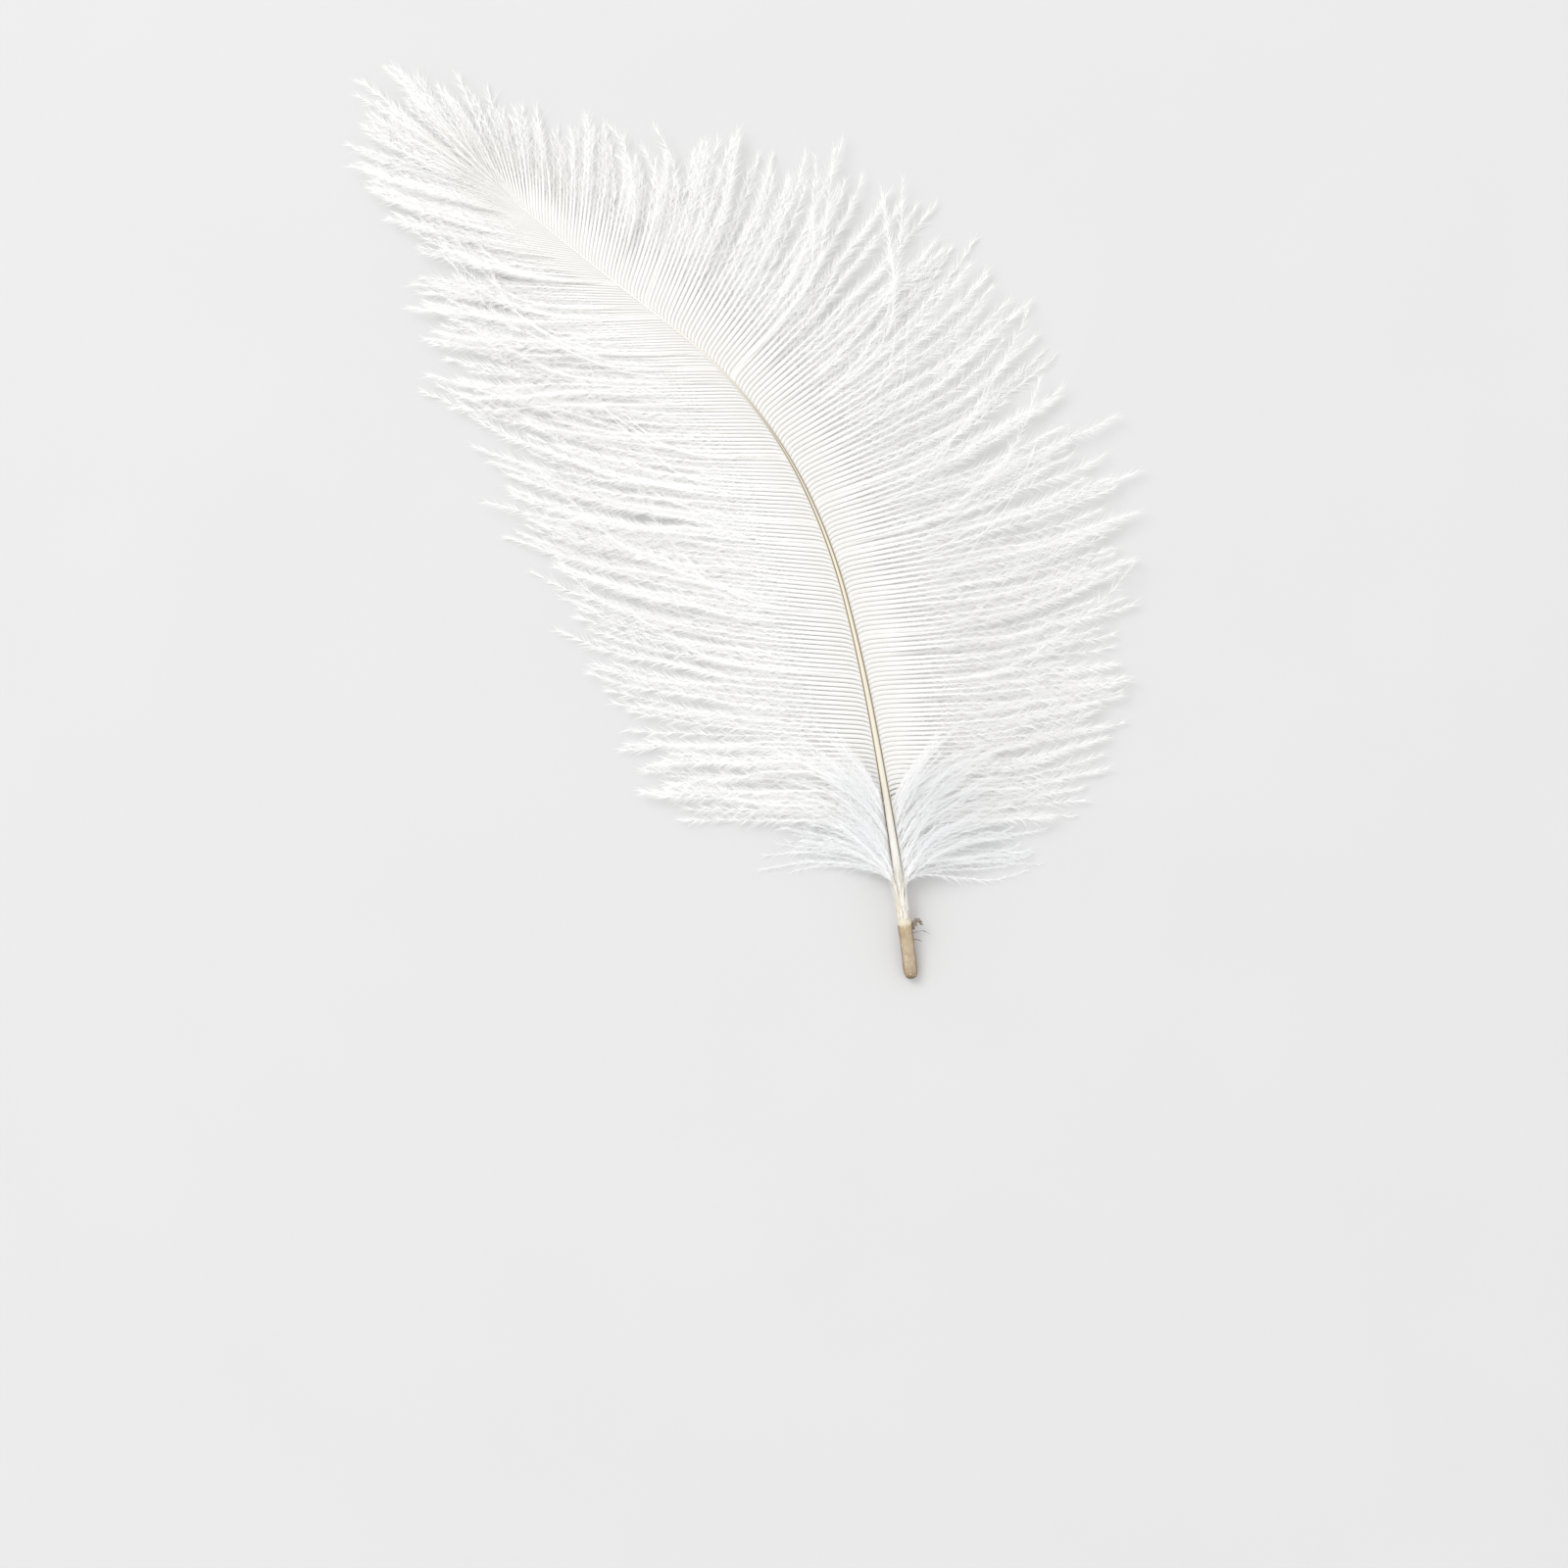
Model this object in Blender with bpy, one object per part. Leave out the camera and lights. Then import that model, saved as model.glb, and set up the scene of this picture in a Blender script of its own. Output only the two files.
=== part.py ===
"""A white ostrich body feather, lying back side up on a flat surface.

It is one grown shaft (the bare quill, the neck above it and the rachis), with a tuft of down and a
vane on each side. The downs and vanes are simple closed solids that reach the tips of their barbs:
each is swept along the lines that the barbs follow, and its outer edge lies flat on the surface.

+Y runs from the quill's end to the feather's tip, +X to its right and +Z up. The surface is z = 0,
and the origin is under the middle of the feather. Lengths are in metres and angles in degrees.
"""

import math

import bmesh
import bpy
import numpy as np

# Shaft, measured along its middle line from the quill's end
SHAFT_LENGTH = 0.164
FOOT = (-0.0287, -0.0892)  # where the quill's end lies, so that the feather is centred on the origin
SHAFT_HEADINGS = (  # (distance from the quill's end, direction in plan to the left of +Y)
    (0.0, -25.5),
    (0.045, -21.5),
    (0.065, -17.8),
    (0.085, -6.7),
    (0.105, 8.9),
    (0.122, 20.0),
    (SHAFT_LENGTH, 17.5),
)
QUILL_RADIUS = 0.00125
QUILL_LENGTH = 0.0095
NECK_END = 0.018  # the neck above the quill, where the shaft's taper begins
REST_HEIGHT = 0.0011  # of the shaft's two ends, so that the quill just touches the surface
ARCH_RISE = 0.0069  # how far the middle of the shaft stands above its ends
SHAFT_WIDTHS = (  # (distance from the quill's end, radius)
    (0.0, 0.0006),
    (0.0004, 0.00105),
    (0.0012, QUILL_RADIUS),
    (QUILL_LENGTH, QUILL_RADIUS),
    (QUILL_LENGTH + 0.0004, 0.00095),
    (NECK_END, 0.00085),
    (0.025, 0.0008),
    (0.045, 0.00062),
    (0.073, 0.00052),
    (0.095, 0.00038),
    (0.115, 0.00026),
    (SHAFT_LENGTH, 0.00015),
)
SHAFT_STEP = 0.003  # distance between the rings of the shaft's skin past the neck

# Downs and vanes
DOWN_START = 0.014
DOWN_END = 0.0258
VANE_START = 0.0266
PAD_THICKNESS = 0.002
DOWN_ROWS = 6  # faces along the shaft
VANE_ROWS = 44
BARB_STEPS = 14  # faces along the barbs
SHAFT_GAP = 0.0003  # between the shaft and what stands beside it
LEFT_LENGTHS = (  # (distance along the shaft, length of the barbs there)
    (DOWN_START, 0.024),
    (VANE_START, 0.040),
    (0.045, 0.051),
    (0.065, 0.057),
    (0.085, 0.057),
    (0.110, 0.049),
    (0.135, 0.036),
    (SHAFT_LENGTH, 0.025),
)
RIGHT_LENGTHS = (
    (DOWN_START, 0.022),
    (VANE_START, 0.037),
    (0.045, 0.047),
    (0.065, 0.051),
    (0.085, 0.050),
    (0.110, 0.041),
    (0.135, 0.024),
    (0.150, 0.019),
    (SHAFT_LENGTH, 0.022),
)
LEFT_LEAN = (  # (distance along the shaft, angle between the barbs and the shaft's direction)
    (DOWN_START, 86.0),
    (0.030, 80.0),
    (0.060, 72.0),
    (0.090, 60.0),
    (0.110, 46.0),
    (0.130, 36.0),
    (0.152, 26.0),
    (SHAFT_LENGTH, 6.0),
)
RIGHT_LEAN = (
    (DOWN_START, 110.0),
    (0.030, 99.0),
    (0.060, 99.0),
    (0.090, 92.0),
    (0.110, 84.0),
    (0.130, 70.0),
    (0.152, 46.0),
    (SHAFT_LENGTH, 6.0),
)
ROOT_LEAN = 30.0  # every barb leaves the shaft at this angle or less, then bends out
DOWN_BEND = 0.007  # over about this length in the lowest down
VANE_BEND = 0.0008  # and over this length in the vanes
TIP_SWEEP = 0.15  # share of its lean that a barb loses again towards its tip
LANDING = 0.85  # share of a barb's length at which it reaches the surface
LEFT, RIGHT = 1, -1

FINE = np.linspace(0.0, SHAFT_LENGTH, 657)  # places along the shaft, a quarter of a millimetre apart


def reading(table, along):
    """The value of a table of (distance along the shaft, value) at one distance or several."""
    places, values = zip(*table)
    return np.interp(along, places, values)


def shaft_heading(along):
    """The shaft's direction in plan, in radians to the left of +Y."""
    return np.radians(reading(SHAFT_HEADINGS, along))


def walked(start, headings, step):
    """The points met by walking from start in steps of one length, in the given directions."""
    middle = (headings[1:] + headings[:-1]) / 2
    x = start[0] - np.concatenate(([0.0], np.cumsum(np.sin(middle)))) * step
    y = start[1] + np.concatenate(([0.0], np.cumsum(np.cos(middle)))) * step
    return x, y


FINE_X, FINE_Y = walked(FOOT, shaft_heading(FINE), FINE[1])


def shaft_height(along):
    """Height of the shaft's middle line: a low arch that comes down at the quill and at the tip."""
    return REST_HEIGHT + ARCH_RISE * np.sin(math.pi * along / SHAFT_LENGTH)


def barb_line(side, along, steps):
    """Points along the barb that leaves one side of the shaft at a distance from the quill's end."""
    length = reading(LEFT_LENGTHS if side == LEFT else RIGHT_LENGTHS, along)
    lean = reading(LEFT_LEAN if side == LEFT else RIGHT_LEAN, along)
    bend = np.interp(along, (DOWN_START, VANE_START), (DOWN_BEND, VANE_BEND))
    out = np.linspace(0.0, length, steps + 1)
    share = out / length
    root = min(ROOT_LEAN, lean)
    angle = lean * (1.0 - TIP_SWEEP * share**2) - (lean - root) * np.exp(-out / bend)
    heading = shaft_heading(along)
    clear = side * (reading(SHAFT_WIDTHS, along) + SHAFT_GAP)
    start = (
        np.interp(along, FINE, FINE_X) - clear * math.cos(heading),
        np.interp(along, FINE, FINE_Y) - clear * math.sin(heading),
    )
    x, y = walked(start, heading + side * np.radians(angle), out[1])
    landed = np.minimum(share / LANDING, 1.0)
    fall = (1.0 + np.cos(math.pi * landed)) / 2
    edge = PAD_THICKNESS / 2
    return x, y, edge + (shaft_height(along) - edge) * fall


def coloured(name, colour, roughness):
    material = bpy.data.materials.new(name)
    material.use_nodes = True
    surface = material.node_tree.nodes["Principled BSDF"]
    surface.inputs["Base Color"].default_value = (*colour, 1.0)
    surface.inputs["Metallic"].default_value = 0.0
    surface.inputs["Roughness"].default_value = roughness
    return material


def add_shaft(material):
    """The shaft as a round tube along its middle line, with the step at the top of the quill."""
    rings = np.arange(NECK_END, SHAFT_LENGTH, SHAFT_STEP)
    along = np.unique(np.concatenate(([place for place, _ in SHAFT_WIDTHS], rings)))
    line = np.column_stack(
        (np.interp(along, FINE, FINE_X), np.interp(along, FINE, FINE_Y), shaft_height(along))
    )
    curve = bpy.data.curves.new("shaft", "CURVE")
    curve.dimensions = "3D"
    curve.bevel_depth = QUILL_RADIUS
    curve.bevel_resolution = 4
    curve.use_fill_caps = True
    spline = curve.splines.new("POLY")
    spline.points.add(len(along) - 1)
    for point, place, distance in zip(spline.points, line, along):
        point.co = (*place, 1.0)
        point.radius = reading(SHAFT_WIDTHS, distance) / QUILL_RADIUS
    shaft = bpy.data.objects.new("shaft", curve)
    curve.materials.append(material)
    bpy.context.collection.objects.link(shaft)


def add_pad(name, side, first, last, rows, material):
    """A soft solid that fills one side of the shaft from first to last, as far as the barb tips."""
    bm = bmesh.new()
    bmesh.ops.create_grid(bm, x_segments=rows, y_segments=BARB_STEPS, size=0.5)
    lines = {}
    for vert in bm.verts:
        row = round((vert.co.x + 0.5) * rows)
        step = round((vert.co.y + 0.5) * BARB_STEPS)
        if row not in lines:
            lines[row] = barb_line(side, first + (last - first) * row / rows, BARB_STEPS)
        x, y, middle = (axis[step] for axis in lines[row])
        vert.co = (x, y, max(middle - PAD_THICKNESS / 2, 0.0))
    top = bmesh.ops.extrude_face_region(bm, geom=bm.faces[:], use_keep_orig=True)
    raised = [item for item in top["geom"] if isinstance(item, bmesh.types.BMVert)]
    bmesh.ops.translate(bm, verts=raised, vec=(0.0, 0.0, PAD_THICKNESS))
    bmesh.ops.recalc_face_normals(bm, faces=bm.faces[:])
    mesh = bpy.data.meshes.new(name)
    bm.to_mesh(mesh)
    bm.free()
    mesh.materials.append(material)
    bpy.context.collection.objects.link(bpy.data.objects.new(name, mesh))


for old in list(bpy.data.objects):
    bpy.data.objects.remove(old, do_unlink=True)

horn = coloured("horn", (0.78, 0.69, 0.50), 0.45)
down = coloured("down", (0.93, 0.93, 0.93), 0.9)
vane = coloured("vane", (0.90, 0.89, 0.87), 0.85)

add_shaft(horn)
for side, word in ((LEFT, "left"), (RIGHT, "right")):
    add_pad(f"{word}_down", side, DOWN_START, DOWN_END, DOWN_ROWS, down)
    add_pad(f"{word}_vane", side, VANE_START, SHAFT_LENGTH, VANE_ROWS, vane)
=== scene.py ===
# %% [markdown]
# # A white ostrich feather
#
# This lesson builds one short ostrich body feather that lies back side up on a pale table. A
# feather is a shaft with hundreds of barbs, and each barb carries hundreds of barbules. An ostrich
# feather has no hooks between its barbules, so its barbs hang free and the vane looks like soft
# fringe. The shaft is modelled with bmesh. The barbs and barbules are too many for that, so
# they are worked out as arrays of points and joined into a few large meshes.

import math

import bmesh
import bpy
import numpy as np
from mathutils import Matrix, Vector


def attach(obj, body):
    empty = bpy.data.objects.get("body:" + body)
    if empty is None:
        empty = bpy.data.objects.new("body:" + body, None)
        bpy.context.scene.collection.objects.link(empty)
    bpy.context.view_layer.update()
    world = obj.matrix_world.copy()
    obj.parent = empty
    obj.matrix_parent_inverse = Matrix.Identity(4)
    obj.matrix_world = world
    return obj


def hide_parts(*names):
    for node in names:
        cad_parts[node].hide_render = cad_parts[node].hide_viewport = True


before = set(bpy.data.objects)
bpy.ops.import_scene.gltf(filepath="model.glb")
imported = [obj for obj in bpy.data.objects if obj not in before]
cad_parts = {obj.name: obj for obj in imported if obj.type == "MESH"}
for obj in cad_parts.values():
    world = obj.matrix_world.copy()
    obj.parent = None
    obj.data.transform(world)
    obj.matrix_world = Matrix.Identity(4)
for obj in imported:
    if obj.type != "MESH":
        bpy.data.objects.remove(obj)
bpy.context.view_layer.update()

# %% [markdown]
# ## The line of the shaft
#
# Everything on a feather hangs on the line of its shaft. Seen from above it runs straight out of
# the quill and then bends to the left. Seen from the side it is a low arch, because the feather
# touches the table only at the quill, at the tip and along its fringe. The line is a short table of
# directions, which is walked in small steps. That gives a smooth curve from very few numbers.

# %% The shaft's line, in metres and degrees
SHAFT_LENGTH = 0.164
FOOT = (-0.0287, -0.0892)
SHAFT_HEADINGS = (
    (0.0, -25.5),
    (0.045, -21.5),
    (0.065, -17.8),
    (0.085, -6.7),
    (0.105, 8.9),
    (0.122, 20.0),
    (SHAFT_LENGTH, 17.5),
)
REST_HEIGHT = 0.0011
ARCH_RISE = 0.0069
FINE = np.linspace(0.0, SHAFT_LENGTH, 657)


def reading(table, along):
    """The value of a table of (distance, value) at one distance or at an array of them."""
    places, values = zip(*table)
    return np.interp(along, places, values)


def smooth(value, low, high):
    """0 below low, 1 above high, and a soft step between them."""
    t = np.clip((value - low) / (high - low), 0.0, 1.0)
    return t * t * (3.0 - 2.0 * t)


def shaft_heading(along):
    return np.radians(reading(SHAFT_HEADINGS, along))


def walked(start, heading, out):
    """Points met by walking from each start, row by row. Out holds the distances walked."""
    middle = (heading[:, 1:] + heading[:, :-1]) / 2
    step = np.diff(out, axis=1)
    zero = np.zeros((len(heading), 1))
    x = start[:, :1] - np.hstack((zero, np.cumsum(np.sin(middle) * step, 1)))
    y = start[:, 1:2] + np.hstack((zero, np.cumsum(np.cos(middle) * step, 1)))
    return x, y


line_x, line_y = walked(np.array([FOOT]), shaft_heading(FINE)[None, :], FINE[None, :])


def shaft_at(along):
    """Points on the shaft's middle line."""
    height = REST_HEIGHT + ARCH_RISE * np.sin(math.pi * along / SHAFT_LENGTH)
    return np.stack((np.interp(along, FINE, line_x[0]), np.interp(along, FINE, line_y[0]), height), -1)


print("shaft ends at", shaft_at(np.array([0.0, SHAFT_LENGTH])).round(4).tolist())

# %% [markdown]
# ## Helpers for materials
#
# Each material is one Principled BSDF with a few nodes in front of it. These short functions add a
# node, set it and link it, so that a finish reads like a recipe further down.

# %% Helpers for node trees


def new_material(name, **plain):
    """A material with a Principled BSDF whose named inputs are set on its own sockets."""
    material = bpy.data.materials.new(name)
    material.use_nodes = True
    surface = material.node_tree.nodes["Principled BSDF"]
    for socket, value in plain.items():
        surface.inputs[socket.replace("_", " ")].default_value = value
    return material, material.node_tree, surface


def add(tree, kind, **settings):
    node = tree.nodes.new(kind)
    for name, value in settings.items():
        setattr(node, name, value)
    return node


def ramp(tree, stops, factor):
    """A colour ramp with (position, colour) stops, driven by a socket."""
    node = add(tree, "ShaderNodeValToRGB")
    elements = node.color_ramp.elements
    while len(elements) < len(stops):
        elements.new(1.0)
    for element, (position, colour) in zip(elements, stops):
        element.position = position
        element.color = (*colour, 1.0)
    tree.links.new(factor, node.inputs["Fac"])
    return node.outputs["Color"]


def blend_colour(tree, factor, first, second):
    """First where factor is 0, second where it is 1. Each is a colour or a socket."""
    node = add(tree, "ShaderNodeMix", data_type="RGBA")
    tree.links.new(factor, node.inputs["Factor"])
    for socket, value in ((node.inputs[6], first), (node.inputs[7], second)):
        if isinstance(value, tuple):
            socket.default_value = (*value, 1.0)
        else:
            tree.links.new(value, socket)
    return node.outputs[2]


def sums(tree, operation, first, second):
    node = add(tree, "ShaderNodeMath", operation=operation)
    for socket, value in zip(node.inputs, (first, second)):
        if isinstance(value, (int, float)):
            socket.default_value = value
        else:
            tree.links.new(value, socket)
    return node.outputs[0]


def span(tree, value, low, high):
    """0 at low and 1 at high, with a soft step between them. Low may be the greater."""
    node = add(tree, "ShaderNodeMapRange", interpolation_type="SMOOTHSTEP")
    tree.links.new(value, node.inputs["Value"])
    node.inputs["From Min"].default_value = low
    node.inputs["From Max"].default_value = high
    return node.outputs["Result"]


def carried(tree, name):
    """A number that the mesh carries at each point."""
    return add(tree, "ShaderNodeAttribute", attribute_name=name).outputs["Fac"]


def noise(tree, vector, scale, detail):
    node = add(tree, "ShaderNodeTexNoise")
    node.inputs["Scale"].default_value = scale
    node.inputs["Detail"].default_value = detail
    tree.links.new(vector, node.inputs["Vector"])
    return node.outputs["Fac"]


# %% [markdown]
# ## White barbs
#
# Feathers are made of keratin. The barbs are so fine that they scatter nearly all the light, so
# they look white, with a trace of cream where they leave the shaft and of blue in the down. One
# node group holds that variation, and four materials use it with their own colours. The colour
# depends on two numbers that each barb's mesh carries: its own tone, and the distance from the
# shaft.

# %% The keratin group


def make_keratin_group():
    """Barb colour and roughness from each barb's tone and the distance from the shaft."""
    group = bpy.data.node_groups.new("barb keratin", "ShaderNodeTree")
    colours = (
        ("Light", (0.93, 0.93, 0.92, 1.0)),
        ("Shade", (0.86, 0.86, 0.85, 1.0)),
        ("Root", (0.90, 0.86, 0.76, 1.0)),
    )
    for name, colour in colours:
        socket = group.interface.new_socket(name, in_out="INPUT", socket_type="NodeSocketColor")
        socket.default_value = colour
    reach = group.interface.new_socket("Root reach", in_out="INPUT", socket_type="NodeSocketFloat")
    reach.default_value = 2.0
    group.interface.new_socket("Colour", in_out="OUTPUT", socket_type="NodeSocketColor")
    group.interface.new_socket("Roughness", in_out="OUTPUT", socket_type="NodeSocketFloat")
    given = add(group, "NodeGroupInput")
    result = add(group, "NodeGroupOutput")
    place = add(group, "ShaderNodeTexCoord").outputs["Object"]
    cloud = noise(group, place, 160.0, 2.0)
    # A barb's own tone and a slow cloud decide between the light and the shaded white
    own = sums(group, "ADD", sums(group, "MULTIPLY", carried(group, "tone"), 0.6), -0.15)
    mixed = span(group, sums(group, "ADD", own, sums(group, "MULTIPLY", cloud, 0.7)), 0.1, 0.8)
    body = blend_colour(group, mixed, given.outputs["Shade"], given.outputs["Light"])
    # The root colour fades into the white over the root reach
    far = sums(group, "DIVIDE", carried(group, "out_mm"), given.outputs["Root reach"])
    colour = blend_colour(group, span(group, far, 0.0, 1.0), given.outputs["Root"], body)
    group.links.new(colour, result.inputs["Colour"])
    rough = sums(group, "ADD", sums(group, "MULTIPLY", cloud, 0.2), 0.6)
    group.links.new(rough, result.inputs["Roughness"])
    return group


keratin = make_keratin_group()


def barb_material(name, light, shade, root, reach, sheen):
    """A keratin material. Reach is how many millimetres the root colour goes out."""
    plain = {"Metallic": 0.0, "Sheen_Weight": sheen, "Sheen_Roughness": 0.4, "Specular_IOR_Level": 0.3}
    material, tree, surface = new_material(name, **plain)
    colour = add(tree, "ShaderNodeGroup", node_tree=keratin)
    for socket, value in (("Light", light), ("Shade", shade), ("Root", root)):
        colour.inputs[socket].default_value = (*value, 1.0)
    colour.inputs["Root reach"].default_value = reach
    tree.links.new(colour.outputs["Colour"], surface.inputs["Base Color"])
    tree.links.new(colour.outputs["Roughness"], surface.inputs["Roughness"])
    return material


vane_white = barb_material(
    "vane white", (0.995, 0.994, 0.99), (0.98, 0.977, 0.968), (0.87, 0.862, 0.838), 15.0, 0.1
)
down_white = barb_material(
    "down white", (0.993, 0.994, 0.996), (0.978, 0.98, 0.984), (0.97, 0.965, 0.95), 1.0, 0.1
)
shred_white = barb_material(
    "papery sheath", (0.93, 0.92, 0.88), (0.60, 0.51, 0.38), (0.80, 0.72, 0.56), 0.6, 0.0
)
flake_brown = barb_material(
    "dried sheath", (0.38, 0.32, 0.25), (0.07, 0.055, 0.04), (0.16, 0.12, 0.085), 0.6, 0.0
)
print("materials:", [m.name for m in (vane_white, down_white, shred_white, flake_brown)])

# %% [markdown]
# ## The shaft
#
# The shaft grew as one piece of horn. At the bottom is the bare quill, which sat in the skin: tan,
# round and closed with a blunt end. A pale collar ends it, and a thinner neck leads to the rachis,
# which tapers to a hair. The rachis isn't round. Two fine grooves run along its back, near its
# edges, and one wide groove runs along its underside. So each ring of the mesh gets its radius from
# a table and its outline from a formula.

# %% Shaft outline
AROUND = 48
SHAFT_WIDTHS = (
    (0.0, 0.00040),
    (0.00015, 0.00078),
    (0.0005, 0.00105),
    (0.0011, 0.00120),
    (0.0020, 0.00124),
    (0.0055, 0.00119),
    (0.0088, 0.00124),
    (0.0093, 0.00127),
    (0.0095, 0.00122),
    (0.00955, 0.00108),
    (0.0101, 0.00103),
    (0.0103, 0.00090),
    (0.014, 0.00086),
    (0.018, 0.00088),
    (0.025, 0.0008),
    (0.045, 0.00062),
    (0.073, 0.00052),
    (0.095, 0.00038),
    (0.115, 0.00026),
    (0.140, 0.00014),
    (SHAFT_LENGTH, 0.00006),
)
# Each brown line lies this many degrees round from the top of the rachis.
LINE_ANGLES = (
    (0.014, 68.0),
    (0.0265, 60.0),
    (0.034, 51.0),
    (0.050, 47.0),
    (0.060, 40.0),
    (0.085, 30.0),
    (0.110, 12.0),
    (SHAFT_LENGTH, 10.0),
)


def dip(angle, middle, width):
    """1 in the middle of a groove and 0 beyond its width, in degrees around the shaft."""
    gap = np.abs((angle - middle + 180.0) % 360.0 - 180.0)
    return 1.0 - smooth(gap, 0.0, width)


def ring_points(along):
    """The shaft's outline at one distance from the quill's end."""
    around = np.arange(AROUND) * 360.0 / AROUND
    radius = reading(SHAFT_WIDTHS, along)
    ridged = float(smooth(along, 0.012, 0.022))
    line = reading(LINE_ANGLES, along)
    back = dip(around, 90.0 - line, 14.0) + dip(around, 90.0 + line, 14.0)
    profile = 1.0 - ridged * (0.12 * back + 0.30 * dip(around, 270.0, 50.0))
    rumple = 0.018 * np.sin(np.radians(around * 3.0) + along * 2100.0) * (1.0 - ridged)
    reach = radius * (profile + rumple)
    heading = float(shaft_heading(along))
    right = np.array([math.cos(heading), math.sin(heading), 0.0])
    slope = ARCH_RISE * math.pi / SHAFT_LENGTH * math.cos(math.pi * along / SHAFT_LENGTH)
    ahead = np.array([-math.sin(heading), math.cos(heading), slope])
    up = np.cross(right, ahead / np.linalg.norm(ahead))
    sideways = (reach * np.cos(np.radians(around)))[:, None] * right
    upwards = (reach * np.sin(np.radians(around)))[:, None] * up
    return shaft_at(np.array(along)) + sideways + upwards


# %% [markdown]
# ## Rings into a shaft
#
# The first ring is a circle, and bmesh extrudes each ring from the last, which keeps the shaft one
# closed skin. Each point notes where it lies on the shaft, for the material to read.

# %% Build the shaft


def stations():
    """Distances of the rings: close together on the quill, wider apart on the rachis."""
    turned = [place for place, _ in SHAFT_WIDTHS]
    quill = np.arange(0.002, 0.0085, 0.0005)
    rachis = np.arange(0.011, SHAFT_LENGTH - 0.001, 0.0013)
    return np.unique(np.concatenate((turned, quill, rachis)))


def next_ring(bm, ring, edges):
    """Extrudes a ring, and gives the new ring's points, in the same order, and its edges."""
    grown = bmesh.ops.extrude_edge_only(bm, edges=edges)["geom"]
    above = {}
    for vert in grown:
        if isinstance(vert, bmesh.types.BMVert):
            below = next(e.other_vert(vert) for e in vert.link_edges if e.other_vert(vert) in ring)
            above[below] = vert
    ring = [above[vert] for vert in ring]
    fresh = set(ring)
    return ring, [e for e in grown if isinstance(e, bmesh.types.BMEdge) and set(e.verts) <= fresh]


def face_order(face):
    """A number that puts the faces in the order of their rings."""
    corners = [vert.index for vert in face.verts]
    return min(corners) * 1000000.0 + sum(corners)


def make_shaft():
    """One ring after another, each extruded from the last. Its points carry four numbers."""
    bm = bmesh.new()
    along_layer = bm.verts.layers.float.new("along_mm")
    arc_layer = bm.verts.layers.float.new("arc_mm")
    line_layer = bm.verts.layers.float.new("line_mm")
    side_layer = bm.verts.layers.float.new("side_mm")
    bmesh.ops.create_circle(bm, segments=AROUND, radius=0.001)
    ring = list(bm.verts)
    edges = list(bm.edges)
    order = {}
    for along in stations():
        if order:
            ring, edges = next_ring(bm, ring, edges)
        radius = reading(SHAFT_WIDTHS, along) * 1000.0
        for index, (vert, point) in enumerate(zip(ring, ring_points(along))):
            vert.co = point
            order[vert] = len(order)
            from_top = math.radians(abs((index * 360.0 / AROUND + 90.0) % 360.0 - 180.0))
            sideways = math.sin(from_top)
            vert[along_layer] = along * 1000.0
            vert[arc_layer] = from_top * radius
            vert[side_layer] = (sideways if from_top < math.pi / 2 else 2.0 - sideways) * radius
            vert[line_layer] = math.sin(math.radians(reading(LINE_ANGLES, along))) * radius
    bmesh.ops.holes_fill(bm, edges=bm.edges[:], sides=AROUND)
    bmesh.ops.recalc_face_normals(bm, faces=bm.faces[:])
    # Sorted, so that the mesh comes out in the same order each time
    bm.verts.sort(key=lambda vert: order[vert])
    bm.verts.index_update()
    bm.faces.sort(key=face_order)
    mesh = bpy.data.meshes.new("feather_shaft")
    bm.to_mesh(mesh)
    bm.free()
    mesh.shade_smooth()
    shaft = bpy.data.objects.new("feather_shaft", mesh)
    bpy.context.collection.objects.link(shaft)
    return shaft


shaft = make_shaft()
print("shaft:", len(shaft.data.polygons), "faces")

# %% [markdown]
# ## Horn
#
# The horn changes colour along the shaft: tan and mottled on the quill, with small painted
# highlights and painted shade on its flanks, a pale collar, white on the neck, cream on the rachis,
# and nearly white at the tip. The two grooves on its back hold a thin brown line each, and further
# up these meet in one. All of that follows the surface, so the material reads four numbers that the
# mesh carries: the distance along the shaft, the distance round it from its top, the distance
# sideways, and how far sideways the brown line lies.

# %% Horn material
# Share of the shaft's length, counted from the quill's end, and the colour there
HORN_COLOURS = (
    (0.0, (0.10, 0.065, 0.035)),
    (0.0022, (0.17, 0.115, 0.065)),
    (0.0048, (0.34, 0.25, 0.155)),
    (0.009, (0.47, 0.36, 0.235)),
    (0.025, (0.52, 0.42, 0.295)),
    (0.045, (0.50, 0.39, 0.25)),
    (0.0548, (0.50, 0.38, 0.24)),
    (0.0556, (0.28, 0.20, 0.12)),
    (0.0572, (0.28, 0.20, 0.12)),
    (0.0579, (0.76, 0.69, 0.53)),
    (0.070, (0.68, 0.65, 0.56)),
    (0.095, (0.66, 0.62, 0.53)),
    (0.12, (0.87, 0.86, 0.82)),
    (0.20, (0.81, 0.77, 0.68)),
    (0.30, (0.78, 0.73, 0.62)),
    (0.45, (0.80, 0.745, 0.63)),
    (0.60, (0.79, 0.75, 0.67)),
    (0.72, (0.82, 0.79, 0.73)),
    (0.85, (0.93, 0.92, 0.88)),
    (1.0, (0.95, 0.95, 0.93)),
)


def window(tree, value, low, full, fade, gone):
    """1 between full and fade, and 0 outside low and gone."""
    return sums(tree, "MULTIPLY", span(tree, value, low, full), span(tree, value, gone, fade))


def stained(tree, body, mask, strength, colour):
    """The body colour with a stain where the mask is 1."""
    return blend_colour(tree, sums(tree, "MULTIPLY", mask, strength), body, colour)


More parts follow.
